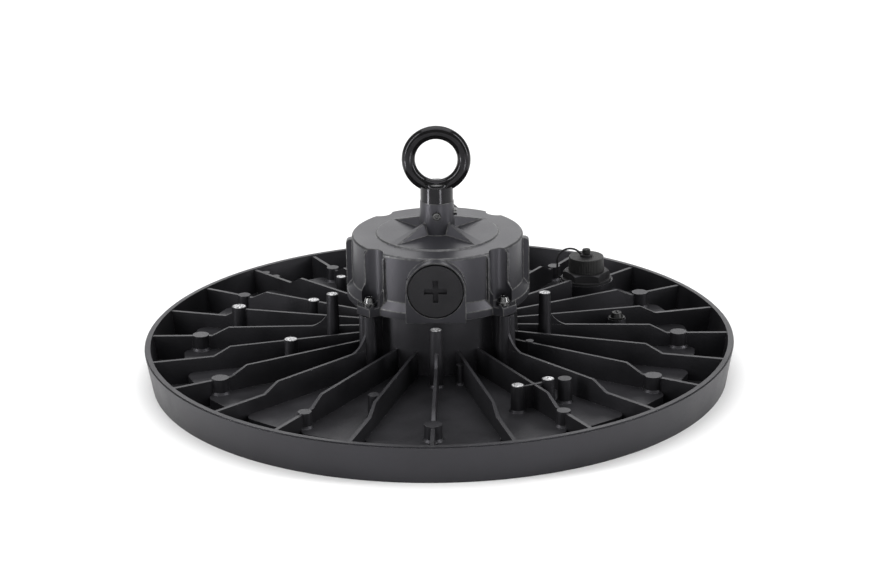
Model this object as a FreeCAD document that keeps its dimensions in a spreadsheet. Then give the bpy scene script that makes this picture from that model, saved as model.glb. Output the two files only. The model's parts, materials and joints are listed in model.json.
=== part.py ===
"""Round LED high bay light, hung by an eye bolt: a finned heat-sink casting with the LEDs
and their lens underneath, and a driver housing with its cover on top.

Millimetres. The origin is the centre of the rim's bottom edge and +Z is up. The front, where
the blanking plug is, faces -Y. Places round the axis are given as a distance out from it and
a turn from the front, positive towards +X.
"""
import FreeCAD, Part
import math
import os
import re
import Sketcher

doc = FreeCAD.newDocument("high_bay_light")
sheet = doc.addObject("Spreadsheet::Sheet", "Sizes")

SIZES = {
    # rim of the heat sink
    "rim_top_radius": 165.0,
    "rim_taper": 3.5,
    "rim_height": 21.0,
    "rim_wall": 3.2,
    "rim_lip_step": 0.7,
    "rim_draft": 2.4,
    # floor: a trench beside the rim and a raised pad in each bay
    "trench_top": 6.5,
    "trench_floor": 2.5,
    "pad_top": 12.6,
    "pad_floor": 3.0,
    "pad_margin": 22.0,
    "pad_corner": 5.5,
    "lens_land": 27.0,
    # fins
    "fin_count": 24,
    "fin_foot_width": 3.2,
    "fin_top_width": 1.5,
    "fin_low_top": 20.4,
    "fin_high_top": 25.3,
    "fin_drum_top": 26.2,
    "fin_ramp_outer": 128.0,
    "fin_ramp_inner": 118.5,
    "fin_bite": 0.25,
    "sink": 1.0,
    # drum that holds the driver
    "drum_radius": 43.6,
    "drum_taper": 1.2,
    "drum_wall": 3.6,
    "drum_top": 45.0,
    # pins over the lens screws
    "pin_step": 5.5,
    "pin_radius": 3.6,
    "wide_pin_radius": 4.6,
    "pin_top": 21.0,
    # tall posts against the drum and their gussets
    "tall_post_step": 15.9,
    "tall_post_radius": 3.3,
    "tall_post_top": 44.7,
    "post_draft": 0.5,
    "foot_flare": 2.0,
    "foot_flare_height": 1.4,
    "gusset_top": 34.5,
    "gusset_step": 2.5,
    "gusset_run": 12.0,
    "gusset_root": 4.0,
    "gusset_curve": 14.0,
    "column_gusset_top": 40.0,
    "column_gusset_step": 2.8,
    "column_gusset_run": 15.5,
    # columns under the cover's ears
    "ear_turn": 45.0,
    "rear_ear_turn": 138.0,
    "column_step": 4.6,
    "column_web": 3.0,
    "column_radius": 3.6,
    "column_rib_radius": 2.3,
    "column_rib_step": 1.4,
    "column_rib_turn": 3.6,
    "cover_screw_bite": 9.0,
    # small posts on the fins and in the bays
    "pair_left_radius": 3.5,
    "pair_left_top": 27.0,
    "pair_left_out": 105.5,
    "pair_left_turn": 24.4,
    "pair_right_radius": 3.3,
    "pair_right_top": 27.0,
    "pair_right_out": 105.5,
    "pair_right_turn": 34.5,
    "pair_outer_radius": 3.6,
    "pair_outer_top": 25.6,
    "pair_outer_out": 107.6,
    "pair_outer_turn": 39.6,
    "web_drop": 1.4,
    "right_fin_post_radius": 2.2,
    "right_fin_post_top": 26.6,
    "right_fin_post_out": 58.0,
    "right_fin_post_turn": 61.0,
    "front_nub_radius": 2.0,
    "front_nub_top": 23.5,
    "front_nub_out": 58.0,
    "front_nub_turn": 12.6,
    "ramp_post_radius": 3.0,
    "ramp_post_top": 25.3,
    "ramp_post_out": 108.5,
    "ramp_post_turn": -17.0,
    "left_post_radius": 3.7,
    "left_post_top": 26.0,
    "left_post_out": 84.6,
    "left_post_turn": -75.0,
    "outer_post_radius": 4.1,
    "outer_post_top": 26.6,
    "outer_post_inset": 9.2,
    "outer_post_turn": -105.0,
    "rear_left_post_radius": 3.4,
    "rear_left_post_top": 26.2,
    "rear_left_post_out": 85.0,
    "rear_left_post_turn": -120.0,
    "rear_post_radius": 2.9,
    "rear_post_top": 27.0,
    "rear_post_out": 101.0,
    "rear_post_turn": -143.6,
    "rim_rib_radius": 2.5,
    "rim_rib_far_inset": 9.7,
    "rim_rib_near_inset": 19.4,
    # sensor socket seat and earth boss on the heat sink
    "seat_inset": 5.5,
    "seat_turn": 136.0,
    "seat_radius": 15.7,
    "seat_top": 22.0,
    "earth_out": 102.5,
    "earth_turn": 100.5,
    "earth_radius": 5.0,
    "earth_top": 22.5,
    "earth_hole_radius": 1.7,
    "earth_hole_depth": 8.0,
    "earth_washer_thick": 0.9,
    "earth_head_radius": 3.6,
    "earth_head_height": 2.6,
    # holes for the leads and for the boards' screws
    "wire_hole_radius": 4.0,
    "wire_hole_across": -14.0,
    "lead_radius": 0.9,
    "grommet_flange": 1.2,
    "grommet_clear": 0.4,
    "socket_wire_step": 2.0,
    "small_screw_radius": 1.3,
    "driver_screw_bite": 2.2,
    "driver_screw_inset": 5.5,
    "driver_screw_turn": 45.0,
    "board_screw_out": 54.0,
    "board_screw_turn": 22.5,
    # gasket between drum and cover
    "cover_gap": 1.0,
    # driver cover
    "cover_step": 4.0,
    "cover_top": 80.7,
    "cover_wall": 3.4,
    "cover_edge": 0.9,
    "flange_step": 3.4,
    "flange_height": 4.2,
    "flange_slope": 4.4,
    "step_inset": 13.2,
    "step_height": 0.8,
    "seal_land": 5.0,
    "ear_width": 16.4,
    "ear_step": 0.8,
    "ear_top": 79.6,
    "ear_depth": 7.1,
    "ear_round": 2.5,
    "side_rib_width": 5.6,
    "side_rib_step": 3.3,
    "side_rib_top": 77.6,
    "flare_top": 62.0,
    "ledge_top": 50.8,
    "ledge_half": 5.2,
    "ledge_depth": 1.6,
    "ledge_root_half": 7.8,
    "ledge_step": 9.0,
    "channel_radius": 7.0,
    "channel_step": 2.8,
    "mouth_step": 1.2,
    "mouth_root_half": 6.6,
    "mouth_half": 4.5,
    "cover_screw_step": 3.9,
    "cover_screw_head": 3.2,
    "cover_screw_head_height": 2.6,
    "cover_washer_radius": 4.0,
    "cover_washer_height": 2.0,
    "head_crown": 0.72,
    "cross_share": 1.1,
    "cross_width": 0.9,
    "cross_depth": 1.1,
    # blocks at the front and the back of the cover
    "block_step": 5.9,
    "block_half_width": 16.3,
    "block_depth": 7.1,
    "block_draft": 0.6,
    "port_height": 64.3,
    "port_bore_radius": 12.6,
    "port_recess_radius": 15.3,
    "port_recess_depth": 2.6,
    # boss on the cover
    "boss_radius": 9.35,
    "boss_foot_radius": 9.95,
    "boss_top": 99.6,
    "boss_rib_foot": 6.0,
    "boss_rib_crest": 1.2,
    "boss_rib_height": 6.5,
    "boss_rib_reach": 34.6,
    "eye_hole_radius": 5.1,
    "eye_hole_depth": 17.0,
    # eye bolt
    "eye_centre": 122.7,
    "eye_inner_radius": 11.6,
    "eye_section_radius": 3.72,
    "collar_radius": 9.1,
    "collar_height": 9.9,
    "collar_round": 1.6,
    "arm_lean": 36.5,
    "arm_length": 12.0,
    "web_relief": 1.2,
    "eye_shank_radius": 4.8,
    "eye_shank_length": 15.5,
    "lock_drop": 7.0,
    "lock_radius": 2.2,
    "lock_key_radius": 1.2,
    "front_proud": 0.7,
    "side_proud": 1.7,
    "lock_key_depth": 1.5,
    # blanking plug and its seal
    "plug_radius": 14.6,
    "plug_proud": 0.5,
    "plug_shank_radius": 12.3,
    "plug_shank_length": 9.0,
    "plug_slot": 12.4,
    "plug_slot_width": 2.8,
    "plug_slot_depth": 2.4,
    "seal_section": 1.4,
    # cable gland at the back
    "gland_shank_radius": 12.3,
    "gland_hex": 27.0,
    "gland_hex_length": 6.0,
    "gland_neck_radius": 11.0,
    "gland_neck_length": 9.0,
    "gland_nut_radius": 13.5,
    "gland_nut_length": 13.0,
    "gland_gap": 1.5,
    "gland_bore_radius": 5.5,
    "gland_seal_radius": 8.0,
    "gland_seal_length": 9.0,
    "gland_nose": 3.0,
    # sensor socket
    "socket_radius": 8.7,
    "socket_pin_radius": 6.8,
    "cap_cover": 7.0,
    "sensor_nut_hex": 24.2,
    "sensor_nut_height": 4.3,
    "strap_ring": 1.3,
    "strap_ring_radius": 14.8,
    "strap_bend": 3.0,
    "strap_rise": 28.0,
    "cap_radius": 10.3,
    "cap_top": 36.3,
    "cap_skin": 1.4,
    "knob_radius": 2.4,
    "knob_neck_radius": 1.4,
    "knob_height": 3.0,
    "strap_radius": 0.6,
    # LED board, lens and its gasket and screws
    "board_inset": 3.0,
    "board_thick": 1.6,
    "led_ring_1_inset": 86.0,
    "led_ring_2_inset": 63.5,
    "led_ring_3_inset": 41.0,
    "led_ring_4_inset": 18.0,
    "led_side": 5.0,
    "led_thick": 0.8,
    "lens_flange_thick": 2.0,
    "lens_gasket_thick": 1.2,
    "lens_margin": 5.5,
    "lens_seat_step": 1.5,
    "lens_dish_inset": 2.0,
    "lens_dish_rise": 1.4,
    "screw_shank_radius": 2.0,
    "screw_length": 9.0,
    "lens_screw_head": 3.2,
    "lens_screw_head_height": 0.7,
    "small_head_radius": 2.4,
    "small_head_height": 1.4,
    "screw_clear": 0.3,
    # driver inside the drum
    "driver_board_gap": 1.5,
    "core_length": 24.0,
    "core_width": 14.0,
    "core_height": 20.0,
    "core_shift": -2.4,
    "winding_radius": 9.0,
    "can_radius": 5.0,
    "can_height": 22.0,
    "can_inset": 11.5,
    "terminal_inset": 8.5,
    "terminal_length": 18.0,
    "terminal_width": 9.0,
    "terminal_height": 11.0,
    "driver_board_thick": 1.6,
    "driver_stand": 8.0,
    "driver_stand_radius": 3.0,
    "fit": 0.3,
}

CENTRE = FreeCAD.Vector(0, 0, 0)
SIDEWAYS = FreeCAD.Vector(1, 0, 0)
UPWARD = FreeCAD.Vector(0, 0, 1)

SMALL_POSTS = ("pair_left", "pair_right", "pair_outer", "right_fin_post", "front_nub", "ramp_post",
               "left_post", "outer_post", "rear_left_post", "rear_post")
RIM_RIBS = ("rim_rib_far", "rim_rib_near")
QUARTERS = (0, 90, 180, 270)
PIN_TURNS = tuple(range(0, 360, 30))
WIDE_PINS = (0, 60, 90, 120, 270, 300)
CAN_TURNS = (180, 250, 290)
LED_RINGS = (("led_ring_1", 12), ("led_ring_2", 18), ("led_ring_3", 24), ("led_ring_4", 30))

for row, (alias, size) in enumerate(SIZES.items(), start=1):
    sheet.set(f"A{row}", alias.replace("_", " "))
    sheet.set(f"B{row}", str(size))
    sheet.setAlias(f"B{row}", alias)
doc.recompute()


# Radii and places that follow from another size, so that what fits together stays together
# when the rim, the drum or the boss changes.
FOLLOWING = {
    "rim_foot_radius": "rim_top_radius - rim_taper",
    "lens_radius": "rim_foot_radius - lens_margin",
    "recess_radius": "lens_radius - lens_land",
    "lens_seat_inner": "recess_radius + lens_seat_step",
    "lens_dish_radius": "recess_radius - lens_dish_inset",
    "pin_ring": "recess_radius + pin_step",
    "pad_radius": "rim_top_radius - pad_margin",
    "board_radius": "recess_radius - board_inset",
    "led_ring_1": "recess_radius - led_ring_1_inset",
    "led_ring_2": "recess_radius - led_ring_2_inset",
    "led_ring_3": "recess_radius - led_ring_3_inset",
    "led_ring_4": "recess_radius - led_ring_4_inset",
    "seat_out": "recess_radius - seat_inset",
    "socket_wire_out": "seat_out - socket_wire_step",
    "outer_post_out": "recess_radius - outer_post_inset",
    "rim_rib_far_out": "rim_top_radius - rim_rib_far_inset",
    "rim_rib_near_out": "rim_top_radius - rim_rib_near_inset",
    "drum_foot_radius": "drum_radius + drum_taper",
    "tall_post_out": "drum_radius + tall_post_step",
    "gusset_start": "tall_post_out + gusset_step",
    "gusset_end": "gusset_start + gusset_run",
    "cover_radius": "drum_radius + cover_step",
    "column_out": "cover_radius + column_step",
    "column_gusset_start": "column_out + column_gusset_step",
    "column_gusset_end": "column_gusset_start + column_gusset_run",
    "flange_radius": "cover_radius + flange_step",
    "step_radius": "cover_radius - step_inset",
    "ear_out": "cover_radius + ear_step",
    "ear_root": "cover_radius - ear_depth",
    "side_rib_out": "cover_radius + side_rib_step",
    "ledge_root": "cover_radius - ledge_depth",
    "ledge_out": "cover_radius + ledge_step",
    "channel_out": "cover_radius + channel_step",
    "mouth_root": "cover_radius + mouth_step",
    "cover_screw_out": "cover_radius + cover_screw_step",
    "block_root": "cover_radius - block_depth",
    "block_face": "cover_radius + block_step",
    "lock_height": "boss_top - lock_drop",
    "driver_board_radius": "drum_radius - drum_wall - driver_board_gap",
    "driver_screw_out": "driver_board_radius - driver_screw_inset",
    "can_out": "driver_board_radius - can_inset",
    "terminal_out": "driver_board_radius - terminal_inset",
}


def bound(text):
    """Point each size that an expression names at its cell in the sheet."""
    def cell(match):
        word = match[0]
        if word in FOLLOWING:
            return f"({bound(FOLLOWING[word])})"
        return "Sizes." + word if word in SIZES else word
    return re.sub(r"[a-z][a-z_0-9]*", cell, str(text))


def value(text):
    """The number that an expression comes to."""
    number = sheet.evalExpression(bound(text))
    return float(getattr(number, "Value", number))


def tie(item, **sizes):
    """Tie an object's properties to expressions."""
    for name, text in sizes.items():
        item.setExpression(name, bound(text))
    return item


def place(item, out=0, turn=0, up=0, across=0, axis=None, tilt=0):
    """Put an object at a distance out from the light's axis, turned from the front."""
    if axis:
        item.Placement = FreeCAD.Placement(CENTRE, turned(axis, tilt))
    else:
        item.Placement = FreeCAD.Placement(CENTRE, turned(UPWARD, 0))
        item.setExpression("Placement.Rotation.Angle", bound(turn))
    item.setExpression("Placement.Base.x", bound(f"({across}) * cos({turn}) + ({out}) * sin({turn})"))
    item.setExpression("Placement.Base.y", bound(f"({across}) * sin({turn}) - ({out}) * cos({turn})"))
    item.setExpression("Placement.Base.z", bound(up))
    return item


def turned(axis, degrees):
    return FreeCAD.Rotation(axis, degrees)


def cylinder(name, radius, height, **where):
    item = doc.addObject("Part::Cylinder", name)
    return place(tie(item, Radius=radius, Height=height), **where)


def cone(name, foot, top, height, **where):
    item = doc.addObject("Part::Cone", name)
    return place(tie(item, Radius1=foot, Radius2=top, Height=height), **where)


def box(name, length, width, height, **where):
    item = doc.addObject("Part::Box", name)
    return place(tie(item, Length=length, Width=width, Height=height), **where)


def prism(name, sides, circumradius, height, **where):
    item = doc.addObject("Part::Prism", name)
    item.Polygon = sides
    return place(tie(item, Circumradius=circumradius, Height=height), **where)


def fuse(name, items):
    item = doc.addObject("Part::MultiFuse", name)
    item.Shapes = items
    return item


def cut(name, base, tool):
    item = doc.addObject("Part::Cut", name)
    item.Base = base
    item.Tool = tool
    return item


def group(name, items):
    item = doc.addObject("Part::Compound", name)
    item.Links = items
    return item


def origin_plane(body, role):
    return [plane for plane in body.Origin.OriginFeatures if plane.Role == role][0]


def sketch_on(body, name, role="XZ_Plane", offset=None):
    sketch = body.newObject("Sketcher::SketchObject", name)
    sketch.AttachmentSupport = [(origin_plane(body, role), "")]
    sketch.MapMode = "FlatFace"
    if offset:
        sketch.AttachmentOffset = offset
    return sketch


def outline(sketch, corners):
    """Draw a closed outline, each corner held by two expressions.

    A third expression makes the edge that leaves the corner an arc of that radius, which
    bulges to the left of the way round, or to the right where it is negative.
    """
    spots = [FreeCAD.Vector(value(corner[0]), value(corner[1]), 0) for corner in corners]
    edges = []
    for index, corner in enumerate(corners):
        start, end = spots[index], spots[(index + 1) % len(spots)]
        if len(corner) == 2:
            edges.append((sketch.addGeometry(Part.LineSegment(start, end), False), 1, 2))
            continue
        radius = value(corner[2])
        half = (end - start) * 0.5
        rise = abs(radius) - math.sqrt(radius ** 2 - half.Length ** 2)
        side = FreeCAD.Vector(-half.y, half.x, 0).normalize()
        middle = (start + end) * 0.5 + side * math.copysign(rise, radius)
        number = sketch.addGeometry(Part.Arc(start, middle, end), False)
        edges.append((number, 2, 1) if radius > 0 else (number, 1, 2))
    for index, (number, start, end) in enumerate(edges):
        following = edges[(index + 1) % len(edges)]
        sketch.addConstraint(Sketcher.Constraint("Coincident", number, end, following[0], following[1]))
    for (number, start, end), corner in zip(edges, corners):
        for kind, text in (("DistanceX", corner[0]), ("DistanceY", corner[1])):
            held = sketch.addConstraint(Sketcher.Constraint(kind, -1, 1, number, start, value(text)))
            sketch.setExpression(f"Constraints[{held}]", bound(text))
        if len(corner) == 3:
            held = sketch.addConstraint(Sketcher.Constraint("Radius", number, abs(value(corner[2]))))
            sketch.setExpression(f"Constraints[{held}]", bound(f"abs({corner[2]})"))


def revolved(body, name, corners):
    """Turn an outline of (radius, height) corners round the light's axis."""
    sketch = sketch_on(body, name + "_sketch")
    outline(sketch, corners)
    feature = body.newObject("PartDesign::Revolution", name)
    feature.Profile = sketch
    feature.ReferenceAxis = (sketch, ["V_Axis"])
    feature.Angle = 360.0
    doc.recompute()
    return feature


def padded(body, name, sketch, length, both_ways=False):
    feature = body.newObject("PartDesign::Pad", name)
    feature.Profile = sketch
    feature.setExpression("Length", bound(length))
    feature.Midplane = both_ways
    doc.recompute()
    return feature


def ring(name, corners):
    """A body turned from one outline."""
    body = doc.addObject("PartDesign::Body", name)
    revolved(body, name + "_turned", corners)
    return body


def facing(item, start, up="port_height", turn=0):
    """Lay an object made upright along a radius, from a distance outwards."""
    item.Placement = FreeCAD.Placement(CENTRE, turned(UPWARD, turn) * turned(SIDEWAYS, 90))
    item.setExpression("Placement.Base.x", bound(f"({start}) * sin({turn})"))
    item.setExpression("Placement.Base.y", bound(f"-({start}) * cos({turn})"))
    item.setExpression("Placement.Base.z", bound(up))
    return item


def lying(shape, name, start, up="port_height", turn=0, **sizes):
    """A standard shape laid along a radius."""
    item = doc.addObject("Part::" + shape, name)
    return facing(tie(item, **sizes), start, up, turn)


def wedge(name, near_half, far_half, near_out, far_out, low, near_high, far_high, turn):
    """A block along a radius, with its own width and height at its inner and its outer end."""
    item = doc.addObject("Part::Wedge", name)
    tie(item, Xmin=f"-({far_half})", Xmax=far_half, Ymin=f"-({far_out})", Ymax=f"-({near_out})",
        X2min=f"-({near_half})", X2max=near_half, Zmin=low, Zmax=far_high, Z2min=low, Z2max=near_high)
    return place(item, turn=turn)


def finish(item, label):
    """Name a finished piece and keep it for the export."""
    item.Label = label
    nodes.append(item)
    return item


nodes = []

# Heat sink: one casting of rim, floor, drum, fins, pads, pins, posts and bosses.
seat = "trench_top - trench_floor"
ceiling = "pad_top - pad_floor"
casting = doc.addObject("PartDesign::Body", "casting")
revolved(casting, "casting_wall", [
    ("rim_foot_radius", "0"),
    ("rim_top_radius", "rim_height - rim_lip_step"),
    ("rim_top_radius - rim_lip_step", "rim_height - rim_lip_step"),
    ("rim_top_radius - rim_lip_step", "rim_height"),
    ("rim_top_radius - rim_wall", "rim_height"),
    ("rim_top_radius - rim_wall - rim_draft", "trench_top"),
    ("recess_radius - sink", "trench_top"),
    ("recess_radius - sink", "pad_top"),
    ("drum_foot_radius", "pad_top"),
    ("drum_radius", "drum_top"),
    ("drum_radius - drum_wall", "drum_top"),
    ("drum_radius - drum_wall", "pad_top"),
    ("0", "pad_top"),
    ("0", seat),
    ("rim_foot_radius - rim_wall", seat),
    ("rim_foot_radius - rim_wall", "0"),
])

# One raised pad, rounded at its outer corners, in each bay between two fins.
half_bay = "180 / fin_count"
pads = doc.addObject("PartDesign::Body", "bay_pads")
pad_plane = FreeCAD.Placement(CENTRE, turned(UPWARD, value(half_bay)))
pad_sketch = sketch_on(pads, "pad_sketch", "XY_Plane", pad_plane)
pad_sketch.setExpression("AttachmentOffset.Rotation.Angle", bound(half_bay))
pad_sketch.setExpression("AttachmentOffset.Base.z", bound("trench_top - sink"))
pad_inner = "recess_radius - 4 * sink"
pad_half = "(fin_foot_width / 2 - sink / 2) / cos(180 / fin_count)"
outline(pad_sketch, [
    (pad_inner, f"({pad_inner}) * tan({half_bay}) - {pad_half}"),
    (pad_inner, f"{pad_half} - ({pad_inner}) * tan({half_bay})"),
    ("pad_radius", f"{pad_half} - pad_radius * tan({half_bay})"),
    ("pad_radius", f"pad_radius * tan({half_bay}) - {pad_half}"),
])
pad = padded(pads, "pad", pad_sketch, "pad_top - trench_top + sink")


def upright_edges(shape, radius, spread):
    """Names of the upright edges that stand at about a radius from the axis."""
    names = []
    for number, edge in enumerate(shape.Edges, start=1):
        ends = [vertex.Point for vertex in edge.Vertexes]
        if len(ends) == 2 and math.hypot(ends[0].x - ends[1].x, ends[0].y - ends[1].y) < 0.001:
            if abs(math.hypot(ends[0].x, ends[0].y) - radius) < spread:
                names.append(f"Edge{number}")
    return names


corner_half = value(f"pad_radius * tan({half_bay}) - {pad_half}")
pad_round = pads.newObject("PartDesign::Fillet", "pad_round")
pad_round.Base = (pad, upright_edges(pad.Shape, math.hypot(value("pad_radius"), corner_half), 0.01))
pad_round.SupportTransform = True
tie(pad_round, Radius="pad_corner")
doc.recompute()
pad_copies = pads.newObject("PartDesign::PolarPattern", "pad_copies")
pad_copies.Originals = [pad_round]
pad_copies.Axis = (pad_sketch, ["N_Axis"])
pad_copies.Angle = 360.0
tie(pad_copies, Occurrences="fin_count")
pads.Tip = pad_copies
doc.recompute()

# One fin, thinner at its top, ramped down towards the rim; then its copies.
fins = doc.addObject("PartDesign::Body", "fins")
fin_section = sketch_on(fins, "fin_section", "YZ_Plane", FreeCAD.Placement())
fin_start = "drum_radius - drum_wall / 2"
fin_section.setExpression("AttachmentOffset.Base.z", bound(fin_start))
outline(fin_section, [
    ("-fin_foot_width / 2", "trench_top - sink"),
    ("fin_foot_width / 2", "trench_top - sink"),
    ("fin_top_width / 2", "fin_drum_top + sink"),
    ("-fin_top_width / 2", "fin_drum_top + sink"),
])
fin_blank = padded(fins, "fin_blank", fin_section, f"rim_top_radius - rim_wall + fin_bite - ({fin_start})")
fin_crest = sketch_on(fins, "fin_crest")
outline(fin_crest, [
    (f"{fin_start} - sink", "fin_drum_top"),
    ("fin_ramp_inner", "fin_high_top"),
    ("fin_ramp_outer", "fin_low_top"),
    ("rim_top_radius + sink", "fin_low_top"),
    ("rim_top_radius + sink", "fin_drum_top + 2 * sink"),
    (f"{fin_start} - sink", "fin_drum_top + 2 * sink"),
])
fin_shaping = fins.newObject("PartDesign::Pocket", "fin_shaping")
fin_shaping.Profile = fin_crest
fin_shaping.Midplane = True
tie(fin_shaping, Length="fin_foot_width + 2 * sink")
doc.recompute()
fin_copies = fins.newObject("PartDesign::PolarPattern", "fin_copies")
fin_copies.Originals = [fin_blank, fin_shaping]
fin_copies.Axis = (fin_crest, ["V_Axis"])
fin_copies.Angle = 360.0
tie(fin_copies, Occurrences="fin_count")
fins.Tip = fin_copies
doc.recompute()


def gusset(name, start, end, top, first_turn):
    """Four curved gussets that climb from the fins' tops, a quarter turn apart."""
    body = doc.addObject("PartDesign::Body", name)
    sketch = sketch_on(body, name + "_sketch")
    inner = f"{start} - gusset_root"
    outline(sketch, [
        (inner, "pad_top - sink"),
        (end, "pad_top - sink"),
        (end, "fin_high_top", "gusset_curve"),
        (start, top),
        (inner, top),
    ])
    padded(body, name + "_pad", sketch, "fin_top_width", both_ways=True)
    copies = body.newObject("PartDesign::PolarPattern", name + "_copies")
    copies.Originals = [body.Tip]
    copies.Axis = (sketch, ["V_Axis"])
    copies.Angle = 360.0
    copies.Occurrences = 4
    body.Tip = copies
    doc.recompute()
    return place(body, turn=first_turn)


def post(name, radius, top, out, turn):
    """An upright cast post with draft and a flared foot."""
    height = f"{top} - pad_top + sink"
    where = {"out": out, "turn": turn, "up": "pad_top - sink"}
    stem = cone(name, f"{radius} + post_draft", radius, height, **where)
    foot = cone(name + "_foot", f"{radius} + foot_flare", f"{radius} + post_draft / 2",
                "foot_flare_height + sink", **where)
    return [stem, foot]


details = [casting, pads, fins]
details.append(gusset("post_gussets", "gusset_start", "gusset_end", "gusset_top", "0"))
details.append(gusset("column_gussets", "column_gusset_start", "column_gusset_end",
                      "column_gusset_top", "45"))
for turn in QUARTERS:
    details += post(f"tall_post_{turn}", "tall_post_radius", "tall_post_top", "tall_post_out", turn)
for turn in PIN_TURNS:
    radius = "wide_pin_radius" if turn in WIDE_PINS else "pin_radius"
    details += post(f"pin_{turn}", radius, "pin_top", "pin_ring", turn)
for name in SMALL_POSTS:
    details += post(name, f"{name}_radius", f"{name}_top", f"{name}_out", f"{name}_turn")
for name in RIM_RIBS:
    details.append(cylinder(name, "rim_rib_radius",
                            "rim_height - trench_top + sink - 2 * rim_lip_step",
                            out=f"{name}_out", turn="-seat_turn", up="trench_top - sink"))
web_half = "pair_right_out * sin((pair_right_turn - pair_left_turn) / 2)"
details.append(box("pair_web", f"2 * {web_half}", "fin_top_width",
                   "pair_left_top - pad_top - web_drop + sink", up="pad_top - sink",
                   out="pair_left_out", turn="(pair_left_turn + pair_right_turn) / 2",
                   across=f"-{web_half}"))
at_seat = {"out": "seat_out", "turn": "seat_turn"}
at_earth = {"out": "earth_out", "turn": "earth_turn"}
details.append(cone("socket_seat", "seat_radius + post_draft", "seat_radius",
                    "seat_top - trench_top + sink", up="trench_top - sink", **at_seat))
details.append(cone("earth_boss", "earth_radius + post_draft", "earth_radius",
                    "earth_top - pad_top + sink", up="pad_top - sink", **at_earth))

# Columns under the cover's ears, each with a rib beside it and a web to the drum.
ear_places = []
for side in (1, -1):
    ear_places.append((f"{side} * ear_turn", side))
    ear_places.append((f"{side} * rear_ear_turn", side))
for number, (turn, side) in enumerate(ear_places):
    height = "drum_top - pad_top + sink"
    details.append(cone(f"column_{number}", "column_radius + post_draft", "column_radius", height,
                        out="column_out", turn=turn, up="pad_top - sink"))
    details.append(cone(f"column_rib_{number}", "column_rib_radius + post_draft",
                        "column_rib_radius", height, out="column_out + column_rib_step",
                        turn=f"{turn} + {side} * column_rib_turn", up="pad_top - sink"))
    details.append(box(f"column_web_{number}", "column_web",
                       "column_out - drum_radius + drum_wall / 2", height, out="column_out",
                       turn=turn, up="pad_top - sink", across="-column_web / 2"))
solid_casting = fuse("solid_casting", details)

bores = [cylinder("board_recess", "recess_radius", f"{ceiling} - ({seat}) + sink", up=f"{seat} - sink")]
bores.append(cylinder("drum_bore", "drum_radius - drum_wall", "drum_top", up="pad_top"))
for turn in PIN_TURNS:
    bores.append(cylinder(f"lens_screw_hole_{turn}", "screw_shank_radius", "screw_length",
                          out="pin_ring", turn=turn, up=f"{seat} - sink"))
for number, (turn, side) in enumerate(ear_places):
    bores.append(cylinder(f"column_hole_{number}", "screw_shank_radius", "cover_screw_bite + sink",
                          out="cover_screw_out", turn=turn, up="drum_top - cover_screw_bite"))
bores.append(cylinder("socket_bore", "socket_radius + fit", "seat_top", up="pad_top", **at_seat))
bores.append(cylinder("seat_face", "seat_radius", "seat_top", up="seat_top", **at_seat))
bores.append(cylinder("socket_wire_hole", "wire_hole_radius", "seat_top", out="socket_wire_out",
                      turn="seat_turn", up=f"{seat} - sink"))
bores.append(cylinder("earth_hole", "earth_hole_radius", "earth_hole_depth + sink",
                      up="earth_top - earth_hole_depth", **at_earth))
bores.append(cylinder("drum_wire_hole", "wire_hole_radius", "pad_top", across="wire_hole_across"))
for turn in QUARTERS:
    bores.append(cylinder(f"driver_screw_hole_{turn}", "small_screw_radius",
                          "driver_screw_bite + sink", out="driver_screw_out",
                          turn=f"{turn} + driver_screw_turn", up="pad_top - driver_screw_bite"))
    bores.append(cylinder(f"board_screw_hole_{turn}", "small_screw_radius",
                          "driver_screw_bite + sink", out="board_screw_out",
                          turn=f"{turn} + board_screw_turn", up=f"{ceiling} - sink"))
finish(cut("heat_sink_cast", solid_casting, fuse("casting_bores", bores)), "heat_sink")

# Driver cover: one casting with an ear at each corner, a rib at each side, a block at the
# front and the back, and the boss.
flange_under = "drum_top + cover_gap"
cover_ceiling = "cover_top - cover_wall"
cover_inside = "drum_radius - drum_wall"
cover_wall_body = ring("cover_shell", [
    (cover_inside, flange_under),
    ("flange_radius", flange_under),
    ("flange_radius", f"{flange_under} + flange_height"),
    ("cover_radius", f"{flange_under} + flange_height + flange_slope"),
    ("cover_radius", "cover_top - cover_edge"),
    ("cover_radius - cover_edge", "cover_top"),
    ("step_radius", "cover_top"),
    ("step_radius - step_height", "cover_top + step_height"),
    ("0", "cover_top + step_height"),
    ("0", cover_ceiling),
    ("cover_radius - cover_wall", cover_ceiling),
    ("cover_radius - cover_wall", f"{flange_under} + seal_land"),
    (cover_inside, f"{flange_under} + seal_land"),
])


def rounded_box(name, length, width, height, radius, **where):
    """A box whose upper outward edge is rounded."""
    block = box(name + "_block", length, width, height, **where)
    doc.recompute()
    high = block.Shape.BoundBox.ZMax
    item = doc.addObject("Part::Fillet", name)
    item.Base = block
    outward = []
    for number, edge in enumerate(block.Shape.Edges, start=1):
        ends = [vertex.Point for vertex in edge.Vertexes]
        if min(ends[0].z, ends[1].z) > high - 0.001:
            middle = (ends[0] + ends[1]) * 0.5
            outward.append((math.hypot(middle.x, middle.y), number))
    item.Edges = [(max(outward)[1], value(radius), value(radius))]
    return item


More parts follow.
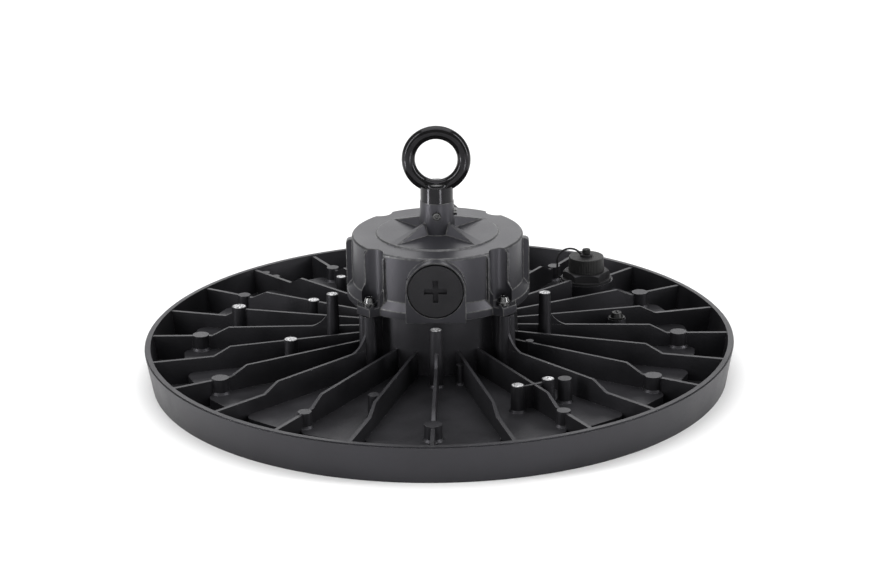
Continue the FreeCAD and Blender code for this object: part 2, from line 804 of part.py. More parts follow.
cover_parts = [cover_wall_body]
cover_cuts = []
for number, (turn, side) in enumerate(ear_places):
    cover_parts.append(rounded_box(f"ear_{number}", "ear_width", "ear_out - ear_root",
                                   f"ear_top - ({flange_under})", "ear_round", out="ear_out",
                                   turn=turn, up=flange_under, across="-ear_width / 2"))
    cover_parts.append(wedge(f"ledge_{number}", "ledge_root_half", "ledge_half", "ledge_root",
                             "ledge_out", flange_under, "ledge_top", "ledge_top", turn))
    cover_parts.append(wedge(f"flare_{number}", "ear_width / 2", "ledge_half", "ear_out - sink",
                             "ledge_out", flange_under, "flare_top", "ledge_top", turn))
    cover_cuts.append(cylinder(f"channel_{number}", "channel_radius", "cover_top",
                               out="channel_out", turn=turn, up="ledge_top"))
    cover_cuts.append(wedge(f"mouth_{number}", "mouth_root_half", "mouth_half", "mouth_root",
                            "ledge_out + sink", "ledge_top", "cover_top", "cover_top", turn))
    cover_cuts.append(cylinder(f"cover_screw_hole_{number}", "screw_shank_radius", "cover_top",
                               out="cover_screw_out", turn=turn, up=f"{flange_under} - sink"))
for word, turn in (("left", -90), ("right", 90)):
    cover_parts.append(rounded_box(f"{word}_side_rib", "side_rib_width",
                                   "side_rib_out - cover_radius + cover_wall / 2",
                                   f"side_rib_top - ({flange_under})", "ear_round",
                                   out="side_rib_out", turn=turn, up=flange_under,
                                   across="-side_rib_width / 2"))
for word, turn in (("front", 0), ("back", 180)):
    cover_parts.append(wedge(f"{word}_block", "block_half_width - block_draft",
                             "block_half_width", "block_root", "block_face", flange_under,
                             "port_height", "port_height", turn))
    cover_parts.append(lying("Cone", f"{word}_arch", "block_root", turn=turn,
                             Radius1="block_half_width - block_draft",
                             Radius2="block_half_width", Height="block_face - block_root"))
    cover_cuts.append(lying("Cylinder", f"{word}_recess", "block_face - port_recess_depth",
                            turn=turn, Radius="port_recess_radius",
                            Height="port_recess_depth + sink"))
    cover_cuts.append(lying("Cylinder", f"{word}_bore", "block_root - 4 * sink", turn=turn,
                            Radius="port_bore_radius", Height="block_face"))
for word, turn in (("front", 0), ("side", 90)):
    cover_cuts.append(lying("Cylinder", f"{word}_lock_hole", "eye_hole_radius / 2",
                            up="lock_height", turn=turn, Radius="lock_radius",
                            Height="boss_radius"))
cover_parts.append(cone("boss", "boss_foot_radius", "boss_radius", "boss_top - cover_top",
                        up="cover_top"))
for turn in QUARTERS:
    cover_parts.append(lying("Wedge", f"boss_rib_{turn}", "0", up="cover_top", turn=turn + 45,
                             Xmin="-boss_rib_foot / 2", Xmax="boss_rib_foot / 2",
                             X2min="-boss_rib_crest / 2", X2max="boss_rib_crest / 2",
                             Ymin="0", Ymax="step_height + boss_rib_height",
                             Zmin="boss_radius / 2", Zmax="boss_rib_reach",
                             Z2min="boss_radius / 2", Z2max="boss_radius + boss_rib_crest"))
cover_cuts.append(cylinder("eye_hole", "eye_hole_radius", "eye_hole_depth + sink",
                           up="boss_top - eye_hole_depth"))
solid_cover = fuse("solid_cover", cover_parts)
finish(cut("cover_cast", solid_cover, fuse("cover_holes", cover_cuts)), "driver_cover")

gasket_outline = [
    (cover_inside, "drum_top"),
    ("drum_radius", "drum_top"),
    ("drum_radius", flange_under),
    (cover_inside, flange_under),
]
finish(ring("gasket", gasket_outline), "cover_gasket")


def pan_screw(name, out, turn, under, length, head_radius, head_height, up_side=True,
              shank_radius="screw_shank_radius - screw_clear"):
    """A pan-head screw that stands on a seat, or hangs from one, with a cross in its head."""
    crown = f"{head_radius} * head_crown"
    where = {"out": out, "turn": turn}
    if up_side:
        head = cone(name + "_head", head_radius, crown, head_height, up=under, **where)
        shank_low = f"{under} - ({length})"
        slot_low = f"{under} + {head_height} - cross_depth"
    else:
        head_low = f"{under} - {head_height}"
        head = cone(name + "_head", crown, head_radius, head_height, up=head_low, **where)
        shank_low = f"{under} - sink / 2"
        slot_low = f"{head_low} - sink"
    shank = cylinder(name + "_shank", shank_radius, f"{length} + sink / 2", up=shank_low, **where)
    slots = []
    for step in (0, 90):
        slots.append(box(f"{name}_slot_{step}", f"{head_radius} * cross_share", "cross_width",
                         "cross_depth + sink", out=f"({out}) * cos({step}) + cross_width / 2",
                         turn=f"{turn} + {step}", up=slot_low,
                         across=f"({out}) * sin(-{step}) - {head_radius} * cross_share / 2"))
    return cut(name, fuse(name + "_solid", [head, shank]), fuse(name + "_cross", slots))


cover_screws = []
for number, (turn, side) in enumerate(ear_places):
    screw = pan_screw(f"cover_pan_{number}", "cover_screw_out", turn,
                      "ledge_top + cover_washer_height",
                      "ledge_top + cover_washer_height - drum_top + cover_screw_bite - sink",
                      "cover_screw_head", "cover_screw_head_height")
    washer = cylinder(f"cover_washer_{number}", "cover_washer_radius", "cover_washer_height",
                      out="cover_screw_out", turn=turn, up="ledge_top")
    cover_screws.append(fuse(f"cover_screw_{number}", [screw, washer]))
finish(group("cover_screw_set", cover_screws), "cover_screws")

# Eye bolt: ring, arms, web, collar and shank, forged as one.
ring_radius = "(eye_inner_radius + eye_section_radius)"
eye_ring = doc.addObject("Part::Torus", "eye_ring")
tie(eye_ring, Radius1=ring_radius, Radius2="eye_section_radius")
place(eye_ring, up="eye_centre", axis=SIDEWAYS, tilt=90)
arms = []
for word, side in (("left", -1), ("right", 1)):
    arm = doc.addObject("Part::Cylinder", f"{word}_arm")
    tie(arm, Radius="eye_section_radius", Height="arm_length")
    lean = turned(FreeCAD.Vector(0, 1, 0), side * value("arm_lean"))
    arm.Placement = FreeCAD.Placement(CENTRE, lean)
    tie(arm, **{
        "Placement.Base.x": f"{side} * ({ring_radius} * cos(arm_lean) - arm_length * sin(arm_lean))",
        "Placement.Base.z": f"eye_centre - {ring_radius} * sin(arm_lean) - arm_length * cos(arm_lean)",
    })
    arms.append(arm)
web = doc.addObject("PartDesign::Body", "web")
web_outline = sketch_on(web, "web_outline")
web_top = f"eye_centre - {ring_radius} * sin(arm_lean)"
outline(web_outline, [
    ("-collar_radius / 2", "boss_top + sink"),
    ("collar_radius / 2", "boss_top + sink"),
    (f"{ring_radius} * cos(arm_lean)", web_top),
    (f"-{ring_radius} * cos(arm_lean)", web_top),
])
padded(web, "web_pad", web_outline, "2 * eye_section_radius - web_relief", both_ways=True)
eye_opening = lying("Cylinder", "eye_opening", "-2 * eye_section_radius", up="eye_centre",
                    Radius=ring_radius, Height="4 * eye_section_radius")
open_web = cut("open_web", web, eye_opening)
collar = ring("collar", [
    ("0", "boss_top"),
    ("collar_radius", "boss_top"),
    ("collar_radius", "boss_top + collar_height - collar_round", "collar_round"),
    ("collar_radius - collar_round", "boss_top + collar_height"),
    ("0", "boss_top + collar_height"),
])
shank = cylinder("eye_shank", "eye_shank_radius", "eye_shank_length + sink",
                 up="boss_top - eye_shank_length")
finish(fuse("eye", [eye_ring, open_web, collar, shank] + arms), "eye_bolt")

# Two grub screws through the boss lock the eye bolt; the one at the side stands further out.
grubs = []
for word, turn in (("front", 0), ("side", 90)):
    grub = lying("Cylinder", f"{word}_grub", "eye_shank_radius + fit", up="lock_height",
                 turn=turn, Radius="lock_radius - screw_clear / 2",
                 Height=f"boss_radius + {word}_proud - eye_shank_radius - fit")
    key = lying("Prism", f"{word}_key", f"boss_radius + {word}_proud - lock_key_depth",
                up="lock_height", turn=turn, Polygon=6, Circumradius="lock_key_radius",
                Height="lock_radius")
    grubs.append(cut(f"{word}_lock", grub, key))
finish(group("lock_set", grubs), "lock_screws")


def discs_along(name, steps, turn=0):
    """Discs laid end to end along a radius: each has its radius, inner end and outer end."""
    discs = []
    for number, (radius, start, end) in enumerate(steps):
        discs.append(lying("Cylinder", f"{name}_{number}", start, turn=turn, Radius=radius,
                           Height=f"({end}) - ({start})"))
    return discs


# Blanking plug in the front port, on its seal.
plug_face = "block_face + plug_proud"
plug_back = "block_face - port_recess_depth + seal_section"
port_step = "block_face - port_recess_depth"
shank_end = f"{port_step} - plug_shank_length"
plug_discs = discs_along("plug", [
    ("plug_radius", plug_back, plug_face),
    ("plug_shank_radius", shank_end, f"{plug_back} + sink / 4"),
])
slots = []
for name, length, width in (("level_arm", "plug_slot", "plug_slot_width"),
                            ("upright_arm", "plug_slot_width", "plug_slot")):
    slots.append(box(name, length, "plug_slot_depth + sink", width, out=plug_face + " + sink",
                     across=f"-{length} / 2", up=f"port_height - {width} / 2"))
plug_solid = fuse("plug_solid", plug_discs)
finish(cut("plug_moulding", plug_solid, fuse("plug_cross", slots)), "blanking_plug")
seal_disc, seal_hole = discs_along("plug_seal", [
    ("plug_radius - fit", port_step, plug_back),
    ("plug_shank_radius", f"{port_step} - sink", f"{plug_back} + sink"),
])
finish(cut("plug_seal_ring", seal_disc, seal_hole), "plug_seal")

# Cable gland in the back port, left empty.
gland_hex_end = "block_face + gland_hex_length"
gland_end = f"{gland_hex_end} + gland_neck_length"
gland_hexagon = lying("Prism", "gland_hexagon", "block_face", turn=180, Polygon=6,
                      Circumradius="gland_hex / 2 / cos(30)", Height="gland_hex_length")
gland_discs = discs_along("gland", [
    ("gland_shank_radius", shank_end, "block_face + sink / 4"),
    ("gland_neck_radius", f"{gland_hex_end} - sink / 4", gland_end),
], turn=180)
gland_bores = discs_along("gland_bore", [
    ("gland_seal_radius + fit", f"{shank_end} - sink", f"{gland_end} + sink"),
], turn=180)
gland_solid = fuse("gland_solid", [gland_hexagon] + gland_discs)
finish(cut("gland_turning", gland_solid, gland_bores[0]), "gland_body")
gland_seal_parts = discs_along("gland_grommet", [
    ("gland_seal_radius", f"{gland_end} - gland_seal_length", gland_end),
    ("gland_bore_radius", f"{gland_end} - gland_seal_length - sink", f"{gland_end} + sink"),
], turn=180)
finish(cut("gland_grommet_ring", *gland_seal_parts), "gland_seal")
nut_start = f"{gland_hex_end} + gland_gap"
nut_end = f"{nut_start} + gland_nut_length"
nut_flats = lying("Prism", "gland_nut_flats", nut_start, turn=180, Polygon=12,
                  Circumradius="gland_nut_radius", Height="gland_nut_length - gland_nose")
nose = lying("Cone", "gland_nut_nose", f"{nut_end} - gland_nose", turn=180,
             Radius1="gland_nut_radius - fit", Radius2="gland_seal_radius + gland_nose / 2",
             Height="gland_nose")
nut_bores = discs_along("gland_nut_bore", [
    ("gland_neck_radius", f"{nut_start} - sink", gland_end),
    ("gland_bore_radius + fit", f"{gland_end} - sink", f"{nut_end} + sink"),
], turn=180)
nut_solid = fuse("gland_nut_solid", [nut_flats, nose])
finish(cut("gland_nut_moulding", nut_solid, fuse("gland_nut_hole", nut_bores)), "gland_nut")

# Sensor socket: a threaded insert in the seat, its nut, the tethered strap and the dust cap.
insert = cylinder("insert", "socket_radius", "seat_top - pad_top + sensor_nut_height + cap_cover",
                  up="pad_top", **at_seat)
insert_hole = cylinder("insert_hole", "socket_pin_radius", "cap_top", up="seat_top", **at_seat)
finish(cut("insert_moulding", insert, insert_hole), "sensor_socket")
strap_disc = cylinder("strap_disc", "strap_ring_radius", "strap_ring", up="seat_top", **at_seat)
strap_hole = cylinder("strap_hole", "socket_radius", "cap_top", up="trench_top", **at_seat)
nut_top = "seat_top + strap_ring + sensor_nut_height"
sensor_hexagon = prism("sensor_hexagon", 6, "sensor_nut_hex / 2 / cos(30)", "sensor_nut_height",
                       up="seat_top + strap_ring", **at_seat)
sensor_hexagon.setExpression("Placement.Rotation.Angle", "0")
nut_chamfer = cone("nut_chamfer", "sensor_nut_hex / 2 / cos(30) + sensor_nut_height", "sensor_nut_hex / 2",
                   "sensor_nut_height + fit", up="seat_top + strap_ring", **at_seat)
nut_body = doc.addObject("Part::Common", "nut_body")
nut_body.Base = sensor_hexagon
nut_body.Tool = nut_chamfer
finish(cut("sensor_nut_turning", nut_body, strap_hole), "sensor_nut")
cap_shell = cone("cap_shell", "cap_radius + fit", "cap_radius", f"cap_top - ({nut_top})",
                 up=nut_top, **at_seat)
cap_hollow = cylinder("cap_hollow", "socket_radius", f"cap_top - cap_skin - ({nut_top}) + sink",
                      up=f"{nut_top} - sink", **at_seat)
knob = cylinder("knob", "knob_radius", "knob_height", up="cap_top + strap_ring", **at_seat)
knob_neck = cylinder("knob_neck", "knob_neck_radius", "strap_ring + sink", up="cap_top - sink / 2",
                     **at_seat)
cap_body = cut("cap_body", cap_shell, cap_hollow)
finish(fuse("cap_moulding", [cap_body, knob, knob_neck]), "sensor_cap")


def beside_seat(item, left, up, rotation):
    """Put an object a distance to the -X side of the sensor seat's axis."""
    place(item, up=up, axis=SIDEWAYS, **at_seat)
    item.setExpression("Placement.Base.x", bound(f"seat_out * sin(seat_turn) - ({left})"))
    item.Placement = FreeCAD.Placement(item.Placement.Base, rotation)
    return item


strap_left = "strap_ring_radius + strap_bend - strap_radius"
strap_arch = doc.addObject("Part::Torus", "strap_arch")
strap_arch_radius = f"(({strap_left}) - knob_radius - strap_radius) / (1 + cos(strap_rise))"
tie(strap_arch, Radius1=strap_arch_radius, Radius2="strap_radius", Angle3="180 - strap_rise")
arch_left = f"{strap_left} - {strap_arch_radius}"
arch_up = f"cap_top + strap_ring / 2 - {strap_arch_radius} * sin(strap_rise)"
on_edge = turned(SIDEWAYS, 90)
beside_seat(strap_arch, arch_left, arch_up, on_edge * turned(UPWARD, value("strap_rise")))
strap_bottom = doc.addObject("Part::Torus", "strap_bottom")
tie(strap_bottom, Radius1="strap_bend", Radius2="strap_radius")
strap_bottom.Angle3 = 90.0
bend_up = "seat_top + strap_ring / 2 + strap_bend"
beside_seat(strap_bottom, f"{strap_left} - strap_bend", bend_up, on_edge * turned(UPWARD, 180))
strap_side = doc.addObject("Part::Cylinder", "strap_side")
tie(strap_side, Radius="strap_radius", Height=f"{arch_up} - ({bend_up})")
beside_seat(strap_side, strap_left, bend_up, turned(UPWARD, 0))
washer_out = cylinder("washer_out", "knob_radius + strap_ring", "strap_ring", up="cap_top",
                      **at_seat)
washer_hole = cylinder("washer_hole", "knob_neck_radius", "cap_top", up="cap_top - sink", **at_seat)
lower_ring = cut("lower_ring", strap_disc, strap_hole)
upper_ring = cut("upper_ring", washer_out, washer_hole)
strap_pieces = [lower_ring, upper_ring, strap_arch, strap_side, strap_bottom]
finish(fuse("strap_moulding", strap_pieces), "cap_strap")

# Earth screw on its star washer.
washer_plate = prism("washer_plate", 12, "earth_radius - fit", "earth_washer_thick",
                     up="earth_top", **at_earth)
washer_bore = cylinder("washer_bore", "earth_hole_radius", "earth_top", up="earth_top - sink",
                       **at_earth)
finish(cut("star_washer", washer_plate, washer_bore), "earth_washer")
finish(pan_screw("earth_screw_turning", "earth_out", "earth_turn", "earth_top + earth_washer_thick",
                 "earth_hole_depth + earth_washer_thick - sink", "earth_head_radius",
                 "earth_head_height", shank_radius="earth_hole_radius - screw_clear / 2"),
       "earth_screw")

# LED board with its LEDs, in the recess under the floor.
board_low = f"{ceiling} - board_thick"
board_disc = cylinder("board_disc", "board_radius", "board_thick", up=board_low)
board_holes = [cylinder("board_wire_hole", "wire_hole_radius", "pad_top", across="wire_hole_across")]
for turn in QUARTERS:
    board_holes.append(cylinder(f"board_hole_{turn}", "small_screw_radius", "pad_top",
                                out="board_screw_out", turn=f"{turn} + board_screw_turn"))
finish(cut("board_plate", board_disc, fuse("board_holes", board_holes)), "led_board")
leds = []
for led_ring, count in LED_RINGS:
    for index in range(count):
        leds.append(box(f"{led_ring}_{index}", "led_side", "led_side", "led_thick",
                        out=f"{led_ring} + led_side / 2", turn=360 * (index + 0.5) / count,
                        across="-led_side / 2", up=f"{board_low} - led_thick"))
finish(group("led_set", leds), "leds")
small_shank = "small_screw_radius - screw_clear"
board_screws = [pan_screw(f"board_screw_{turn}", "board_screw_out", f"{turn} + board_screw_turn",
                          board_low, "board_thick + driver_screw_bite - fit",
                          "small_head_radius", "small_head_height", up_side=False,
                          shank_radius=small_shank) for turn in QUARTERS]
finish(group("board_screw_set", board_screws), "led_board_screws")

# Lens, its gasket and its twelve screws from below.
gasket_low = f"{seat} - lens_gasket_thick"
gasket_ring = ring("lens_gasket_ring", [
    ("lens_seat_inner", gasket_low),
    ("lens_radius - 2 * sink", gasket_low),
    ("lens_radius - 2 * sink", seat),
    ("lens_seat_inner", seat),
])
lens_low = f"{gasket_low} - lens_flange_thick"
lens_disc = ring("lens_disc", [
    ("0", f"{lens_low} + lens_dish_rise"),
    ("lens_dish_radius - lens_dish_rise", f"{lens_low} + lens_dish_rise"),
    ("lens_dish_radius", lens_low),
    ("lens_radius", lens_low),
    ("lens_radius", gasket_low),
    ("lens_seat_inner - sink", gasket_low),
    ("lens_dish_radius", f"{gasket_low} + lens_dish_rise"),
    ("0", f"{gasket_low} + lens_dish_rise"),
])
through = []
for turn in PIN_TURNS:
    through.append(cylinder(f"lens_hole_{turn}", "screw_shank_radius", "seat_top", out="pin_ring",
                            turn=turn, up="-sink"))
lens_holes = fuse("lens_holes", through)
finish(cut("lens_moulding", lens_disc, lens_holes), "lens")
finish(cut("lens_gasket_cut", gasket_ring, lens_holes), "lens_gasket")
lens_screws = [pan_screw(f"lens_screw_{turn}", "pin_ring", turn, lens_low,
                         "lens_flange_thick + lens_gasket_thick + screw_length - 2 * sink",
                         "lens_screw_head", "lens_screw_head_height",
                         up_side=False) for turn in PIN_TURNS]
finish(group("lens_screw_set", lens_screws), "lens_screws")

# Driver inside the drum: stand-offs, board, transformer, capacitors and terminal block.
stands = []
for turn in QUARTERS:
    at_screw = {"out": "driver_screw_out", "turn": f"{turn} + driver_screw_turn"}
    pillar = cylinder(f"stand_{turn}", "driver_stand_radius", "driver_stand", up="pad_top",
                      **at_screw)
    pillar_hole = cylinder(f"stand_hole_{turn}", "small_screw_radius", "pad_top + driver_stand",
                           **at_screw)
    stands.append(cut(f"stand_off_{turn}", pillar, pillar_hole))
finish(group("stand_set", stands), "driver_stand_offs")
deck = "pad_top + driver_stand"
driver_plate = cylinder("driver_plate", "driver_board_radius", "driver_board_thick", up=deck)
driver_holes = [cylinder("driver_wire_hole", "wire_hole_radius", "cover_top", across="wire_hole_across")]
for turn in QUARTERS:
    driver_holes.append(cylinder(f"driver_hole_{turn}", "small_screw_radius", "cover_top",
                                 out="driver_screw_out", turn=f"{turn} + driver_screw_turn"))
finish(cut("driver_board_cut", driver_plate, fuse("driver_holes", driver_holes)), "driver_board")
on_board = f"{deck} + driver_board_thick"
driver_screws = [pan_screw(f"driver_screw_{turn}", "driver_screw_out",
                           f"{turn} + driver_screw_turn", on_board,
                           "driver_stand + driver_board_thick", "small_head_radius",
                           "small_head_height", shank_radius=small_shank) for turn in QUARTERS]
finish(group("driver_screw_set", driver_screws), "driver_screws")
core = box("core", "core_length", "core_width", "core_height", out="core_width / 2",
           across="core_shift", up=on_board)
winding = cylinder("winding", "winding_radius", "core_height - 2 * sink",
                   across="core_shift + core_length / 2", up=f"{on_board} + sink")
finish(fuse("transformer_solid", [core, winding]), "driver_transformer")
cans = [cylinder(f"can_{turn}", "can_radius", "can_height", out="can_out", turn=turn, up=on_board)
        for turn in CAN_TURNS]
finish(group("can_set", cans), "driver_capacitors")
finish(box("terminals", "terminal_length", "terminal_width", "terminal_height",
           out="terminal_out", across="-terminal_length / 2", up=on_board), "terminal_block")

# Leads from the driver through a grommet in the drum's floor to the LED board.
grommet_body = cylinder("grommet_body", "wire_hole_radius", "pad_floor",
                        across="wire_hole_across", up=ceiling)
grommet_flange = cylinder("grommet_flange", "wire_hole_radius + sink", "grommet_flange",
                          across="wire_hole_across", up="pad_top")
grommet_bore = cylinder("grommet_bore", "2 * lead_radius + fit + grommet_clear", "cover_top",
                        across="wire_hole_across")
grommet_solid = fuse("grommet_solid", [grommet_body, grommet_flange])
finish(cut("grommet", grommet_solid, grommet_bore), "lead_grommet")
leads = [cylinder(f"lead_{step}", "lead_radius", f"{on_board} + lead_radius - ({board_low})",
                  across=f"wire_hole_across + ({step}) * (lead_radius + fit / 2)", up=board_low)
         for step in (-1, 1)]
finish(group("lead_pair", leads), "led_leads")

doc.recompute()
for item in doc.Objects:
    if "Invalid" in item.State or "Error" in item.State:
        raise RuntimeError(f"{item.Label} failed: {item.State}")
os.makedirs("parts", exist_ok=True)
for node in nodes:
    if node.Shape.isNull() or not node.Shape.isValid():
        raise RuntimeError(f"{node.Label} has no valid shape")
    node.Shape.exportStep(f"parts/{node.Label}.step")
    print(f"{node.Label}: {len(node.Shape.Solids)} solid, {node.Shape.Volume / 1000:.2f} cm3")
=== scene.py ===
# %% [markdown]
# # A round high bay light
#
# A high bay light hangs from the roof of a hall. A finned aluminium casting carries the LEDs
# and sheds their heat, a housing on top covers the driver, and a forged eye bolt takes the
# hook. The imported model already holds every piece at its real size. This script dresses them:
# rounded edges, powder coat, plated screws, a clear lens, a plain floor and soft light.

# %% Load the light
import json
import math

import bpy
from mathutils import Matrix, Vector

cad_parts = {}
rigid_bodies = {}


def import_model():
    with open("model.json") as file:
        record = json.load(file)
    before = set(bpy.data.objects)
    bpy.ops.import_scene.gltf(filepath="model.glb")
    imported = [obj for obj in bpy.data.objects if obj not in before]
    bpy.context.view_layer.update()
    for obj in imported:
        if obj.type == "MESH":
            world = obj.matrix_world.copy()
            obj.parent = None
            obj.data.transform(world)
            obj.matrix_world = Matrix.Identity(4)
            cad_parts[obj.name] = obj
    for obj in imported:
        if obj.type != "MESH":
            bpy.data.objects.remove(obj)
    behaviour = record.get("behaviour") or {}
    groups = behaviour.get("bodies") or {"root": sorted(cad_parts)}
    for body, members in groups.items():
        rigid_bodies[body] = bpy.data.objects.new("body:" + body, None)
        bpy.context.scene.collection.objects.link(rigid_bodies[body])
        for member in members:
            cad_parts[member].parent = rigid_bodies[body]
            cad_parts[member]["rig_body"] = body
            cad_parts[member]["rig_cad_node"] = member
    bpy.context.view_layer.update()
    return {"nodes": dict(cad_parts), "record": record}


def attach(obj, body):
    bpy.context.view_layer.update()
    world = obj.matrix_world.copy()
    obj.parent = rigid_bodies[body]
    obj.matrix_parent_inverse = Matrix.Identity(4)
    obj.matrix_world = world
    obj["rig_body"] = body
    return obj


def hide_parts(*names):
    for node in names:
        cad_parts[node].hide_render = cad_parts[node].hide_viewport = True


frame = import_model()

nodes = frame["nodes"]
slots = {part["node"]: part["material_slot"] for part in frame["record"]["subparts"]}
MM = 0.001
print("pieces in the model:", len(nodes))

# %% [markdown]
# ## The camera
#
# The picture was taken with a long lens from a little above the light, so the rim looks like a
# flat ellipse. A short lens close by could frame the light too, but it would draw the near edge
# of the rim much wider than the far one. So the camera stands 1.4 m away with a lens of 102 mm
# and looks down by 19.3 degrees.

# %% Place the camera
LOOK_DOWN = math.radians(19.2956)
LOOK_ROUND = math.radians(1.69)
ROLL = -0.0168357
EYE_POINT = Vector((-1.824, -1302.526, 502.627)) * MM
LENS_LENGTH = 102.01

bpy.ops.object.camera_add()
camera = bpy.context.object
camera.name = "camera"
camera.data.sensor_fit = "HORIZONTAL"
camera.data.sensor_width = 36.0
camera.data.lens = LENS_LENGTH
camera.data.clip_start = 0.05
camera.data.clip_end = 50.0
level = Matrix.Rotation(math.pi / 2 - LOOK_DOWN, 4, "X")
rolled = level @ Matrix.Rotation(ROLL, 4, "Z")
camera.matrix_world = Matrix.Rotation(LOOK_ROUND, 4, "Z") @ Matrix.Translation(EYE_POINT) @ rolled
bpy.context.scene.camera = camera
print("camera at", [round(v, 3) for v in camera.matrix_world.translation])

# %% [markdown]
# ## A dim room
#
# Black powder coat shows mostly what it reflects, so the light decides how it looks. A bright
# white world all round would be the quickest light, but it would also fill the bays between
# the fins, which are almost black in the picture. So the room glows only dimly, and soft
# panels do the rest.

# %% Dim the room
ROOM_GLOW = 0.28

world = bpy.data.worlds.new("dim_room")
bpy.context.scene.world = world
world.use_nodes = True
background = world.node_tree.nodes["Background"]
background.inputs["Color"].default_value = (1.0, 1.0, 1.0, 1.0)
background.inputs["Strength"].default_value = ROOM_GLOW
bpy.context.scene.view_settings.view_transform = "Standard"
print("the room glows at", ROOM_GLOW)

# %% [markdown]
# ## Soft panels
#
# Each panel has one task. The wide one overhead lights the floor until it is white. The low
# one behind the light is what the lid mirrors towards the viewer, so the lid turns grey. The
# low one in front lifts the upright walls a little and leaves the lid alone. The two tall
# strips at the sides draw bright arcs on the glossy ring.

# %% Hang the panels
def soft_panel(name, place, target, width, height, power):
    """A rectangular soft light that looks at a point, in millimetres and watts."""
    bpy.ops.object.light_add(type="AREA")
    panel = bpy.context.object
    panel.name = name
    panel.data.shape = "RECTANGLE"
    panel.data.size = width * MM
    panel.data.size_y = height * MM
    panel.data.energy = power
    spot = Vector(place) * MM
    aim = (Vector(target) * MM - spot).to_track_quat("-Z", "Y")
    panel.matrix_world = Matrix.Translation(spot) @ aim.to_matrix().to_4x4()
    print("hung", name)


soft_panel("overhead", (0, 300, 2400), (0, 301, 0), 3000, 2600, 60.0)
soft_panel("behind", (0, 2400, 1000), (0, 0, 80), 2600, 1300, 15.0)
soft_panel("front", (0, -1500, 260), (0, 0, 60), 1700, 460, 3.4)
soft_panel("strip_left", (-1000, -420, 520), (0, 0, 80), 220, 1200, 9.0)
soft_panel("strip_right", (1050, -300, 520), (0, 0, 80), 200, 1200, 8.0)

# %% [markdown]
# ## Strips on the floor
#
# Seen from above, an upright wall mirrors the floor and not the room, so no panel in the air
# can draw the upright highlights that the collar and the boss show. Two short strips lie on
# the floor for them and glow upwards. Each leans outwards by a hair, which also settles how it
# is turned: a light that looks straight up could lie any way round.

# %% Lay the strips
STRIP_OUT = 350
STRIP_LIFT = 3
STRIP_LEAN = 10
STRIP_AIM = 999
STRIP_SIZE = (60, 150)


def around(out, turn, height):
    """A point so far from the axis, turned to the right of the front by degrees."""
    swing = math.radians(turn)
    return Vector((out * math.sin(swing), -out * math.cos(swing), height))


for side, turn, power in (("left", -60.0, 0.62), ("right", 27.0, 0.36)):
    soft_panel(f"floor_strip_{side}", around(STRIP_OUT, turn, STRIP_LIFT),
               around(STRIP_OUT + STRIP_LEAN, turn, STRIP_AIM), *STRIP_SIZE, power)

# %% [markdown]
# ## Writing shaders as sums
#
# A material is a graph of nodes. Wiring them one by one is long, so two small classes help.
# A `Wire` holds one output and can be added, subtracted and multiplied like a number, which
# adds the Math nodes.

# %% A wire for sums
class Wire:
    """One output of a node, used in sums."""

    def __init__(self, finish, socket):
        self.finish = finish
        self.socket = socket

    def __add__(self, other):
        return self.finish.maths("ADD", self, other)

    def __radd__(self, other):
        return self.finish.maths("ADD", other, self)

    def __sub__(self, other):
        return self.finish.maths("SUBTRACT", self, other)

    def __rsub__(self, other):
        return self.finish.maths("SUBTRACT", other, self)

    def __mul__(self, other):
        return self.finish.maths("MULTIPLY", self, other)

    def __rmul__(self, other):
        return self.finish.maths("MULTIPLY", other, self)


print("a wire can be added, subtracted and multiplied")

# %% [markdown]
# A `Finish` starts a material with its fixed values, and its `node` method adds any other
# node from its settings and inputs. The methods after it are the patterns that every finish
# here shares: noise, a stretched range, a colour ramp and a bump. The noise reads the place on
# the piece itself, so a pattern needs no unwrapping.

# %% A finish and its nodes
NOISE_LOW = 0.3
NOISE_HIGH = 0.7


